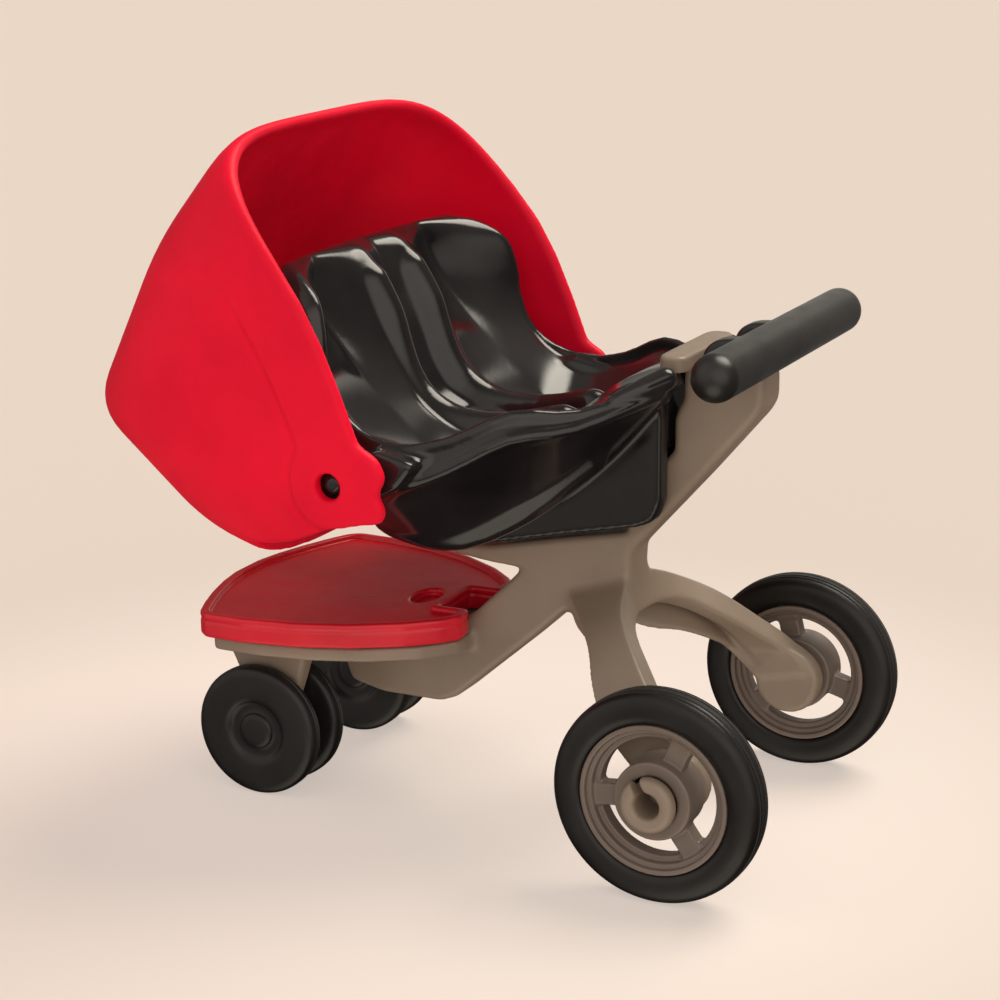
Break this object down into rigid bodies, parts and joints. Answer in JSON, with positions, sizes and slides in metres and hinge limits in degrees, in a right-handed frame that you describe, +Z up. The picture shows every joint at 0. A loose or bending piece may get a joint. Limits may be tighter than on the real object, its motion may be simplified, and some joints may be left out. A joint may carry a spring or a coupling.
{
  "type": "toy twin stroller",
  "caption": "Play-figure-scale twin stroller with a tilting hood, tipping push bar, luggage tray, large spoked rear wheels and small paired front discs.",
  "frame": {"origin": "centre of the footprint, on the floor the wheels stand on", "axes": "+X towards the pusher's handle and the large wheels, +Y across the stroller, +Z up"},
  "size_m": [0.0768, 0.0564, 0.074],
  "materials": {
    "grey_plastic": "satin warm grey moulded plastic",
    "black_plastic": "glossy black moulded plastic",
    "red_plastic": "satin red moulded plastic",
    "black_tyre": "soft black tyre, satin",
    "black_wheel": "satin black moulded plastic"
  },
  "bodies": {
    "base": {"chassis": "grey_plastic", "seat_shell": "black_plastic", "luggage_tray": "red_plastic", "handle_pin": "grey_plastic"},
    "hood": {"canopy_hood": "red_plastic"},
    "handle": {"handle_bar": "black_plastic"},
    "rear_wheel_left": {"rear_rim_left": "grey_plastic", "rear_tyre_left": "black_tyre"},
    "rear_wheel_right": {"rear_rim_right": "grey_plastic", "rear_tyre_right": "black_tyre"},
    "front_wheels_left": {"front_disc_outer_left": "black_wheel", "front_disc_inner_left": "black_wheel", "front_axle_left": "grey_plastic"},
    "front_wheels_right": {"front_disc_outer_right": "black_wheel", "front_disc_inner_right": "black_wheel", "front_axle_right": "grey_plastic"}
  },
  "joints": [
    {"name": "hood_tilt", "type": "hinge", "parent": "base", "child": "hood", "pos_m": [-0.00529, 0, 0.0404], "axis": [0, 1, 0], "range_deg": [-20, 45]},
    {"name": "handle_tip", "type": "hinge", "parent": "base", "child": "handle", "pos_m": [0.02746, 0, 0.0514], "axis": [0, -1, 0], "range_deg": [0, 50]},
    {"name": "rear_wheel_left_spin", "type": "hinge", "parent": "base", "child": "rear_wheel_left", "pos_m": [0.02736, -0.0207, 0.011], "axis": [0, 1, 0], "continuous": true},
    {"name": "rear_wheel_right_spin", "type": "hinge", "parent": "base", "child": "rear_wheel_right", "pos_m": [0.02736, 0.0207, 0.011], "axis": [0, 1, 0], "continuous": true},
    {"name": "front_wheels_left_spin", "type": "hinge", "parent": "base", "child": "front_wheels_left", "pos_m": [-0.02319, -0.0108, 0.00732], "axis": [0, 1, 0], "continuous": true},
    {"name": "front_wheels_right_spin", "type": "hinge", "parent": "base", "child": "front_wheels_right", "pos_m": [-0.02319, 0.0108, 0.00732], "axis": [0, 1, 0], "continuous": true}
  ]
}
